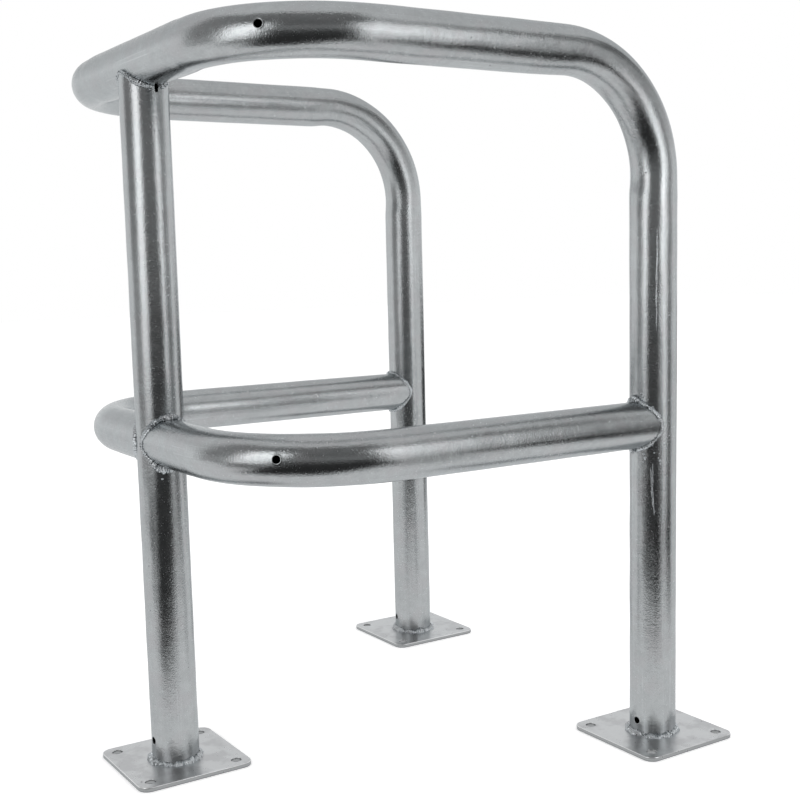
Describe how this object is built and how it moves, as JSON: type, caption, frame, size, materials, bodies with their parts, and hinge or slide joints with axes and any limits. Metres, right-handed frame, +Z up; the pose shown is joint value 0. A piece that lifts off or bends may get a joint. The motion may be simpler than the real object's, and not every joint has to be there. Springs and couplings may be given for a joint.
{
  "type": "three-leg protection hoop",
  "caption": "Welded round-tube protection hoop: bent top rail and lower rails on legs with bolt-down base plates, open at the rear to stand round a post or machine.",
  "frame": {"origin": "on the floor, midway between the axis of the front leg and the axes of the rear legs, in the plane of symmetry", "axes": "+Z up, -Y towards the single front leg, +X to the right when seen from the front leg's side"},
  "size_m": [0.73, 0.705, 0.9021],
  "materials": {
    "galvanised_tube": "hot-dip galvanised, satin, fine spangle",
    "galvanised_plate": "hot-dip galvanised, matt",
    "galvanised_weld": "hot-dip galvanised weld bead, rippled"
  },
  "bodies": {
    "root": {"top_hoop": "galvanised_tube", "front_leg": "galvanised_tube", "lower_rail_right": "galvanised_tube", "lower_rail_left": "galvanised_tube", "base_plate_right": "galvanised_plate", "base_plate_left": "galvanised_plate", "base_plate_front": "galvanised_plate", "base_weld_right": "galvanised_weld", "base_weld_left": "galvanised_weld", "base_weld_front": "galvanised_weld", "top_weld_front": "galvanised_weld", "rear_weld_right": "galvanised_weld", "rear_weld_left": "galvanised_weld", "front_weld_right": "galvanised_weld", "front_weld_left": "galvanised_weld"}
  },
  "joints": []
}
